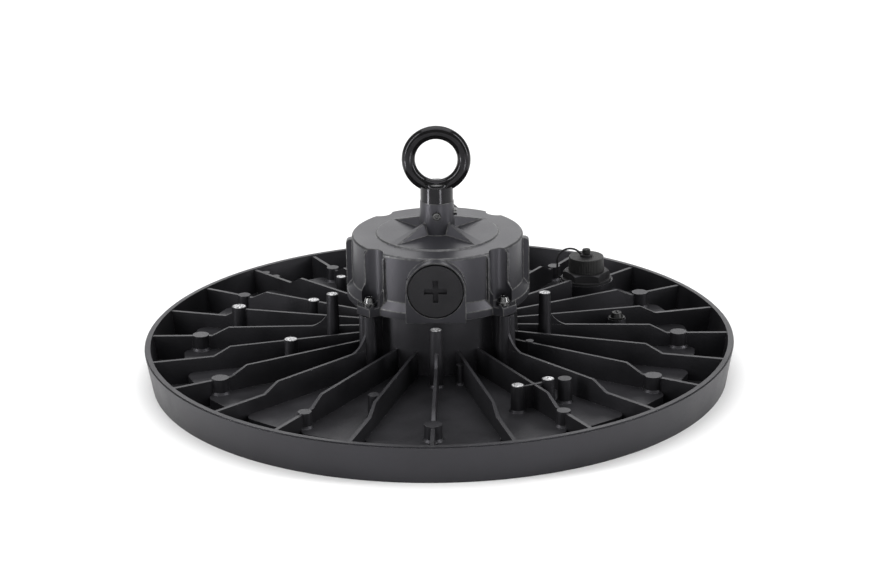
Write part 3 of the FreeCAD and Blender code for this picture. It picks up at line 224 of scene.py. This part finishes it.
class Finish:
    """A material with one shader, its fixed values and its nodes."""

    def __init__(self, name, **fixed):
        self.material = bpy.data.materials.new(name)
        self.material.use_nodes = True
        self.tree = self.material.node_tree
        self.shader = self.tree.nodes["Principled BSDF"]
        for socket, amount in fixed.items():
            self.shader.inputs[socket.replace("_", " ")].default_value = amount
        self.places = self.node("ShaderNodeTexCoord", output="Object")

    def node(self, kind, settings=None, inputs=None, output=0):
        """Any node: its settings are set first, then its inputs, and one output comes back."""
        made = self.tree.nodes.new(kind)
        for name, choice in (settings or {}).items():
            if name == "stops":
                ramp = made.color_ramp.elements
                while len(ramp) < len(choice):
                    ramp.new(0.5)
                for stop, (position, colour) in zip(ramp, choice):
                    stop.position = position
                    stop.color = (*colour, 1.0)
            else:
                setattr(made, name, choice)
        for name, given in (inputs or {}).items():
            if isinstance(given, Wire):
                self.tree.links.new(given.socket, made.inputs[name])
            else:
                made.inputs[name].default_value = given
        return Wire(self, made.outputs[output])

    def maths(self, operation, first, second):
        """A Math node on two wires or numbers."""
        return self.node("ShaderNodeMath", {"operation": operation}, {0: first, 1: second})

    def noise(self, scale, detail=2.0, roughness=0.5):
        """Soft noise with so many lumps to a metre."""
        inputs = {"Vector": self.places, "Scale": scale, "Detail": detail, "Roughness": roughness}
        return self.node("ShaderNodeTexNoise", inputs=inputs)

    def spread(self, wire, low, high):
        """Stretch the range in which most noise lies to a new one."""
        return self.node("ShaderNodeMapRange", {"clamp": True},
                         {"Value": wire, "From Min": NOISE_LOW, "From Max": NOISE_HIGH,
                          "To Min": low, "To Max": high})

    def ramp(self, wire, stops):
        """Colours along a wire, each stop a position and a colour."""
        return self.node("ShaderNodeValToRGB", {"stops": stops}, {"Fac": wire})

    def bump(self, height, depth, strength=1.0, under=None):
        """A bump of so many millimetres."""
        inputs = {"Height": height, "Distance": depth * MM, "Strength": strength}
        if under:
            inputs["Normal"] = under
        return self.node("ShaderNodeBump", inputs=inputs)

    def drive(self, **varying):
        """Lead wires to the shader's own sockets."""
        for socket, wire in varying.items():
            self.tree.links.new(wire.socket, self.shader.inputs[socket.replace("_", " ")])
        print("made", self.material.name)


def grey(level, tint=0.0):
    """A near-grey colour, a little bluer where tint is above 0."""
    return (level, level, level * (1 + tint))


print("finishes can be mixed")

# %% [markdown]
# ## Powder coat on the castings
#
# Powder coat is sprayed as dust and melted, so it has a fine orange-peel skin. Inside a
# casting it looks duller and a little uneven, because the dust lies thicker in the corners.
# A picture of real coat would have to be laid out flat over every fin. Noise in three
# dimensions needs no laying out: two noises of a millimetre and less make the skin, and one
# with lumps of three centimetres makes the uneven sheen. What black coat mirrors looks a
# little cool in the picture, so its highlights are tinted.

# %% Powder coat for the heat sink
COOL = (0.93, 0.91, 1.0, 1.0)

casting_coat = Finish("casting_coat", IOR=1.5, Specular_Tint=COOL)
skin = casting_coat.noise(950.0, 3.0, 0.6)
sand = casting_coat.noise(2600.0, 1.0)
clouds = casting_coat.noise(34.0, 3.0)
casting_coat.drive(
    Base_Color=casting_coat.ramp(clouds, [(0.32, grey(0.006, 0.1)), (0.68, grey(0.011, 0.12))]),
    Roughness=casting_coat.spread(clouds, 0.37, 0.49) + casting_coat.spread(skin, -0.03, 0.03),
    Normal=casting_coat.bump(skin + sand * 0.4, 0.09, 0.55),
)

# %% [markdown]
# The cover comes out of a smaller mould with a finer surface. Its coat could be the same
# material, but in the picture it is greyer and smoother, so it gets a recipe of its own with
# one noise for the skin, a shallower bump and less roughness.

# %% Smoother coat for the cover
cover_coat = Finish("cover_coat", IOR=1.5, Specular_Tint=COOL)
skin = cover_coat.noise(1100.0, 2.0)
clouds = cover_coat.noise(26.0, 3.0)
cover_coat.drive(
    Base_Color=cover_coat.ramp(clouds, [(0.3, grey(0.015, 0.15)), (0.7, grey(0.021, 0.17))]),
    Roughness=cover_coat.spread(clouds, 0.32, 0.41) + cover_coat.spread(skin, -0.02, 0.02),
    Normal=cover_coat.bump(skin, 0.05, 0.45),
)

# %% [markdown]
# The edges of fins and ears show as fine light lines. A lighter, partly metallic colour on
# the edges paints that highlight in. It could be painted on by hand, edge by edge. Here it is
# a material of its own, and the bevel that rounds the edges further on gives it to its new
# faces. The cover's edges get a fainter painted highlight.

# %% Painted highlight for the edges
def painted_edge_highlight(name, light, metal_low, metal_high):
    """Painted highlight along the edges: how light it gets, and how much of it is metal."""
    finish = Finish(name, IOR=1.5)
    highlight_noise = finish.noise(420.0, 4.0, 0.65)
    finish.drive(Base_Color=finish.ramp(highlight_noise, [(0.35, grey(light / 6, 0.1)), (0.65, grey(light))]),
                 Metallic=finish.spread(highlight_noise, metal_low, metal_high),
                 Roughness=finish.spread(highlight_noise, 0.45, 0.3),
                 Normal=finish.bump(highlight_noise, 0.03, 0.4))
    return finish


# lighter, partly metallic edge colours: painted highlight lines, fainter on the cover
EDGE_HIGHLIGHT = {"black_casting": painted_edge_highlight("painted_highlight_casting_edge", 0.42, 0.25, 0.8),
          "black_cover": painted_edge_highlight("painted_highlight_cover_edge", 0.09, 0.0, 0.25)}

# %% [markdown]
# ## Gloss black
#
# The eye bolt is stove enamelled in gloss black. Low roughness alone would do for gloss. A
# thin clear coat on top of a rougher base gives a sharp highlight inside a softer one, as
# enamel has. A slow ripple bends them a little, because the forging under the enamel isn't
# quite smooth.

# %% Gloss black of the eye bolt
gloss_black = Finish("gloss_black", Specular_IOR_Level=0.2, Specular_Tint=COOL, Coat_Roughness=0.1,
                     Coat_IOR=1.35)
ripple = gloss_black.noise(160.0, 2.0)
specks = gloss_black.noise(1400.0, 1.0)
gloss_black.drive(
    Base_Color=gloss_black.ramp(ripple, [(0.3, grey(0.003)), (0.7, grey(0.005))]),
    Roughness=gloss_black.spread(specks, 0.12, 0.2),
    Coat_Weight=gloss_black.spread(ripple, 0.1, 0.25),
    Normal=gloss_black.bump(ripple + specks * 0.1, 0.05, 0.35),
)

# %% [markdown]
# ## Metals
#
# Plated steel and brass are fully metallic: they show only what they mirror, tinted by their
# colour. Fine specks change the roughness, and a slow stain darkens the plating in places. One
# function makes them all, because only the numbers differ. The screws of the cover and the
# boss are plated almost black.

# %% Plated screws, brass and dark steel
STAIN = 0.72


def metal(name, colour, low, high, scale):
    """Plain metal: its colour, its range of roughness and how fine its specks are."""
    finish = Finish(name, Metallic=1.0)
    marks = finish.noise(scale, 3.0, 0.65)
    stain = finish.noise(scale / 9, 2.0)
    dull = tuple(part * STAIN for part in colour)
    finish.drive(Base_Color=finish.ramp(stain, [(0.35, dull), (0.65, colour)]),
                 Roughness=finish.spread(marks, low, high),
                 Normal=finish.bump(marks, 0.02, 0.4))
    return finish


plated = metal("plated_steel", grey(0.6, 0.03), 0.16, 0.34, 1600.0)
black_zinc = metal("black_zinc", grey(0.24), 0.14, 0.28, 1600.0)
dark_steel = metal("dark_steel", grey(0.04), 0.3, 0.5, 1500.0)
brass = metal("brass", (0.62, 0.46, 0.19), 0.22, 0.4, 1500.0)

# %% [markdown]
# The tops of the posts are bare cast aluminium, and a casting is full of tiny pits. A steep
# ramp over fine noise splits the face into bright metal and pits darkened with painted shade,
# and the same noise sinks the pits in. Half metallic keeps the face bright from every side,
# where a full mirror would go black as soon as it looked at a dark part of the room.

# %% Bare aluminium with pits
bare = Finish("bare_aluminium", Metallic=0.5)
pits_and_shade = bare.noise(1150.0, 4.0, 0.7)
# the dark stop of the ramp is painted shade in the pits
bare.drive(Base_Color=bare.ramp(pits_and_shade, [(0.42, grey(0.08)), (0.58, grey(0.8, 0.02))]),
           Roughness=bare.spread(pits_and_shade, 0.55, 0.3),
           Normal=bare.bump(pits_and_shade, 0.12, 0.7))

# %% [markdown]
# ## Plastics, rubber and boards
#
# The plug, the gland and the socket are moulded in matt plastic, and the mould's fine spark
# texture is printed on them. Seals, boards and the driver's pieces could each have a material
# of their own kind. They all need the same three things, a colour that drifts a little, a fine
# texture in the roughness and a shallow bump, so one function takes their numbers.

# %% Moulded plastics and rubber
def moulded(name, dark, light, low, high, scale, depth, **fixed):
    """A moulding: two colours, a range of roughness, and its texture's fineness and depth."""
    finish = Finish(name, **fixed)
    texture = finish.noise(scale, 2.0, 0.6)
    clouds = finish.noise(scale / 30, 2.0)
    finish.drive(Base_Color=finish.ramp(clouds, [(0.32, dark), (0.68, light)]),
                 Roughness=finish.spread(texture, low, high),
                 Normal=finish.bump(texture, depth, 0.5))
    return finish


matt_plastic = moulded("matt_plastic", grey(0.008), grey(0.014), 0.5, 0.64, 1900.0, 0.04,
                       Specular_IOR_Level=0.34, Specular_Tint=COOL)
rubber = moulded("soft_rubber", grey(0.012), grey(0.02), 0.68, 0.82, 900.0, 0.05)
silicone = moulded("white_silicone", grey(0.6), grey(0.68), 0.5, 0.6, 900.0, 0.03)
white_mask = moulded("white_solder_mask", grey(0.78), grey(0.84), 0.35, 0.45, 700.0, 0.01)
green_mask = moulded("green_solder_mask", (0.02, 0.13, 0.05), (0.03, 0.17, 0.07), 0.3, 0.42,
                     700.0, 0.01)
phosphor = moulded("led_phosphor", (0.78, 0.6, 0.12), (0.85, 0.68, 0.2), 0.3, 0.42, 900.0, 0.02)
ferrite = moulded("wound_core", grey(0.05), grey(0.08), 0.5, 0.65, 800.0, 0.05)
sleeve = moulded("shrunk_sleeve", (0.012, 0.016, 0.05), (0.02, 0.024, 0.07), 0.2, 0.3,
                 500.0, 0.01)
green_plastic = moulded("terminal_plastic", (0.03, 0.2, 0.05), (0.04, 0.25, 0.07), 0.4, 0.5,
                        900.0, 0.02)
red_skin = moulded("lead_skin", (0.38, 0.02, 0.015), (0.45, 0.03, 0.02), 0.3, 0.4, 900.0, 0.01)
clear = moulded("clear_plastic", grey(0.8), grey(0.86), 0.05, 0.12, 300.0, 0.01,
                Transmission_Weight=0.92, IOR=1.58)

# %% [markdown]
# ## A knurled cap
#
# The cap on the sensor socket has fine upright ribs for the fingers. They are too small to
# model one by one, so the shader draws them: the angle round the cap's axis goes through a
# sine, and that wave becomes a bump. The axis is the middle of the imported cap.

# %% Ribs round the cap
RIBS = 64

cap_corners = [Vector(corner) for corner in nodes["sensor_cap"].bound_box]
cap_axis = sum(cap_corners, Vector()) / len(cap_corners)
knurled = Finish("knurled_plastic", IOR=1.46)
across = knurled.node("ShaderNodeSeparateXYZ", inputs={"Vector": knurled.places}, output="X")
along = knurled.node("ShaderNodeSeparateXYZ", inputs={"Vector": knurled.places}, output="Y")
angle = knurled.maths("ARCTAN2", along - cap_axis.y, across - cap_axis.x)
wave = knurled.maths("SINE", angle * RIBS, 0.0)
texture = knurled.noise(1900.0, 2.0, 0.6)
knurled.drive(
    Base_Color=knurled.ramp(texture, [(0.3, grey(0.008)), (0.7, grey(0.013))]),
    Roughness=knurled.spread(texture, 0.42, 0.56),
    Normal=knurled.bump(wave, 0.12, 0.8, under=knurled.bump(texture, 0.03, 0.5)),
)
print("ribs:", RIBS, "round", [round(v, 4) for v in cap_axis.xy])

# %% [markdown]
# ## Every piece gets its finish
#
# The model names a finish for each piece, but only as a word. Each piece could be dressed by
# hand. A table from those words to the materials above does it in one loop, and a piece that
# is added later is dressed too.

# %% Set the finishes
FINISHES = {
    "black_casting": casting_coat, "black_cover": cover_coat, "seal_rubber": rubber,
    "bright_screws": plated, "black_gloss_steel": gloss_black, "dark_screws": dark_steel,
    "black_plastic": matt_plastic, "white_board": white_mask, "led_yellow": phosphor,
    "clear_lens": clear, "silicone_white": silicone, "brass_stand_offs": brass,
    "green_board": green_mask, "transformer_core": ferrite, "capacitor_sleeve": sleeve,
    "green_plastic": green_plastic, "red_leads": red_skin,
}
for name, node in nodes.items():
    node.material_slots[0].material = FINISHES[slots[name]].material
print("finishes set on", len(nodes), "nodes")

# %% [markdown]
# ## Flat faces first
#
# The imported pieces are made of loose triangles. A bevel on those would cut every flat face to
# pieces, so each piece that gets rounded is copied, its corners are merged, and triangles that
# lie in one plane are joined again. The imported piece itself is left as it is.

# %% Copy a piece and join its triangles
MERGE_WITHIN = 0.004
FLAT_WITHIN = 1.5


def choose(*objects):
    """Select only these objects, and make the last one active."""
    bpy.ops.object.select_all(action="DESELECT")
    for item in objects:
        item.select_set(True)
    bpy.context.view_layer.objects.active = objects[-1]


def joined_copy(node_name, new_name):
    """A copy of a node whose loose triangles are merged into flat faces."""
    choose(nodes[node_name])
    bpy.ops.object.duplicate()
    piece = bpy.context.object
    piece.name = new_name
    piece.data.name = new_name
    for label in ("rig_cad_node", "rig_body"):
        if label in piece:
            del piece[label]
    bpy.ops.object.parent_clear(type="CLEAR")
    bpy.ops.object.mode_set(mode="EDIT")
    bpy.ops.mesh.select_all(action="SELECT")
    bpy.ops.mesh.remove_doubles(threshold=MERGE_WITHIN * MM)
    bpy.ops.mesh.dissolve_limited(angle_limit=math.radians(FLAT_WITHIN))
    bpy.ops.object.mode_set(mode="OBJECT")
    return piece


print("corners merge within", MERGE_WITHIN, "mm")

# %% [markdown]
# ## Rounded edges
#
# No real edge is perfectly sharp. A die casting has edges rounded by a few tenths of a
# millimetre, and the coat rounds them more, so each edge catches a thin line of light. A
# shading trick could fake that line. A real bevel on every edge sharper than 30 degrees also
# holds up close by, and its new faces carry the painted edge highlight.

# %% Round the edges of a piece
SHARP_ABOVE = 30
SMOOTH_BELOW = 32


def finish_piece(piece, stands_for):
    """Smooth a piece, let it ride on the light and stand for its node."""
    choose(piece)
    bpy.ops.object.shade_smooth_by_angle(angle=math.radians(SMOOTH_BELOW))
    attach(piece, "root")
    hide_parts(stands_for)


def rounded(node_name, new_name, width, clamp=True):
    """A copy of a node with every sharp edge rounded by a width in millimetres."""
    piece = joined_copy(node_name, new_name)
    bevel = piece.modifiers.new("round", "BEVEL")
    # the new faces of the bevel get the painted edge highlight
    if slots[node_name] in EDGE_HIGHLIGHT:
        piece.data.materials.append(EDGE_HIGHLIGHT[slots[node_name]].material)
        bevel.material = len(piece.data.materials) - 1
    bevel.width = width * MM
    bevel.segments = 2
    bevel.limit_method = "ANGLE"
    bevel.angle_limit = math.radians(SHARP_ABOVE)
    bevel.use_clamp_overlap = clamp
    bevel.miter_outer = "MITER_ARC"
    choose(piece)
    bpy.ops.object.modifier_apply(modifier=bevel.name)
    finish_piece(piece, node_name)
    even = piece.modifiers.new("even", "WEIGHTED_NORMAL")
    even.keep_sharp = True
    bpy.ops.object.modifier_apply(modifier=even.name)
    print(new_name, "faces:", len(piece.data.polygons))
    return piece


print("edges sharper than", SHARP_ABOVE, "degrees are rounded")

# %% [markdown]
# A bevel normally stops where it would overlap, and one width then holds for the whole piece.
# The cover's grooves meet in some very short edges, which would shrink its bevel to nothing.
# So the cover is the one piece whose bevel may overlap, by amounts too small to see.

# %% Round the visible pieces
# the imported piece, the name of its rounded copy and the width in millimetres
EDGES = [
    ("heat_sink", "finned_casting", 0.42), ("driver_cover", "cover_casting", 0.4),
    ("eye_bolt", "forged_eye", 0.25), ("lock_screws", "grub_screws", 0.12),
    ("cover_screws", "cover_pan_screws", 0.3), ("blanking_plug", "moulded_plug", 0.3),
    ("gland_body", "gland_moulding", 0.3), ("gland_nut", "gland_cap_nut", 0.3),
    ("sensor_nut", "socket_nut", 0.3), ("sensor_cap", "socket_cap", 0.4),
    ("sensor_socket", "socket_insert", 0.2), ("earth_screw", "earth_pan_screw", 0.2),
    ("earth_washer", "earth_flat_washer", 0.1), ("lens", "lens_moulding", 0.3),
    ("lens_screws", "lens_pan_screws", 0.15),
]
dressed = {}
for node_name, new_name, width in EDGES:
    dressed[node_name] = rounded(node_name, new_name, width, clamp=node_name != "driver_cover")
dressed["sensor_cap"].material_slots[0].material = knurled.material
for node_name in ("cover_screws", "lock_screws"):
    dressed[node_name].material_slots[0].material = black_zinc.material
print("rounded pieces:", len(dressed))

# %% [markdown]
# ## Machined post tops
#
# The casting is coated first, then the tops of its posts are faced off flat, so bare
# aluminium shows there. The top faces of the casting could be picked out and recoloured. A
# thin disc on each bright top is simpler, and its own rounded edge glints as the rim of the
# cut does. Each post is given by its distance from the axis, its turn from the front to the
# right, its height and its radius.

# %% Lay a bright disc on each post
DRUM_POSTS = [(59.5, turn, 44.7, 3.3) for turn in (0.0, 90.0, 180.0, -90.0)]
BAY_POSTS = [
    (105.5, 24.4, 27.0, 3.5), (105.5, 34.5, 27.0, 3.3), (84.6, -75.0, 26.0, 3.7),
    (119.8, -105.0, 26.6, 4.1), (85.0, -120.0, 26.2, 3.4), (101.0, -143.6, 27.0, 2.9),
]
TOP_THICK = 0.14
TOP_INSET = 0.45
TOP_EDGE = 0.05


def join_pieces(pieces, name):
    """Join pieces to one, with its place in its mesh."""
    choose(*pieces)
    bpy.ops.object.join()
    joined = bpy.context.object
    joined.name = name
    joined.data.name = name
    bpy.ops.object.transform_apply(location=True, rotation=True, scale=True)
    return joined


tops = []
for out, turn, height, radius in DRUM_POSTS + BAY_POSTS:
    spot = around(out, turn, height + TOP_THICK / 2) * MM
    bpy.ops.mesh.primitive_cylinder_add(vertices=40, radius=(radius - TOP_INSET) * MM,
                                        depth=TOP_THICK * MM, location=spot)
    tops.append(bpy.context.object)
post_tops = join_pieces(tops, "post_tops")
bpy.ops.object.mode_set(mode="EDIT")
bpy.ops.mesh.select_all(action="SELECT")
bpy.ops.mesh.bevel(offset=TOP_EDGE * MM, segments=2, affect="EDGES")
bpy.ops.object.mode_set(mode="OBJECT")
post_tops.data.materials.clear()
post_tops.data.materials.append(bare.material)
bpy.ops.object.shade_smooth_by_angle(angle=math.radians(SMOOTH_BELOW))
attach(post_tops, "root")
print("post tops:", len(tops))

# %% [markdown]
# ## Lens domes
#
# The lens spreads the light of each LED with a small dome. One dome could be copied by an
# array, but four rings with different counts need four arrays. A loop over the rings is
# shorter. A dome is half a ball, pressed flat, so each starts as a flat sphere, and one
# bisect cuts away the upper half of them all.

# %% Mould a dome under every LED
LED_RINGS = [(43.0, 12), (65.5, 18), (88.0, 24), (111.0, 30)]
DOME_RADIUS = 6.4
DOME_HEIGHT = 1.6
DISH_LOW = 2.2
DOME_SMOOTH = 40

domes = []
for ring_radius, count in LED_RINGS:
    for index in range(count):
        spot = around(ring_radius, 360 * (index + 0.5) / count, DISH_LOW) * MM
        bpy.ops.mesh.primitive_uv_sphere_add(segments=24, ring_count=12, radius=DOME_RADIUS * MM,
                                             location=spot,
                                             scale=(1.0, 1.0, DOME_HEIGHT / DOME_RADIUS))
        domes.append(bpy.context.object)
lens_domes = join_pieces(domes, "lens_domes")
bpy.ops.object.mode_set(mode="EDIT")
bpy.ops.mesh.select_all(action="SELECT")
bpy.ops.mesh.bisect(plane_co=(0.0, 0.0, DISH_LOW * MM), plane_no=(0.0, 0.0, 1.0), clear_outer=True,
                    use_fill=True)
bpy.ops.object.mode_set(mode="OBJECT")
lens_domes.data.materials.clear()
lens_domes.data.materials.append(clear.material)
bpy.ops.object.shade_smooth_by_angle(angle=math.radians(DOME_SMOOTH))
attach(lens_domes, "root")
print("domes:", len(domes), "faces:", len(lens_domes.data.polygons))

# %% [markdown]
# ## The floor
#
# The picture has a plain white ground. A white world alone could give that, but then nothing
# would bounce light up onto the rim. A single large pale plane looks the same, bounces the
# light, and is what the upright walls mirror.

# %% Lay the floor
FLOOR_SIZE = 14.0

bpy.ops.object.select_all(action="DESELECT")
bpy.ops.mesh.primitive_plane_add(size=FLOOR_SIZE, location=(0.0, 0.0, 0.0))
floor = bpy.context.object
floor.name = "floor"
floor_finish = moulded("pale_floor", grey(0.9), grey(0.92), 0.7, 0.8, 40.0, 0.01)
floor.data.materials.append(floor_finish.material)
print("materials:", len(bpy.data.materials))
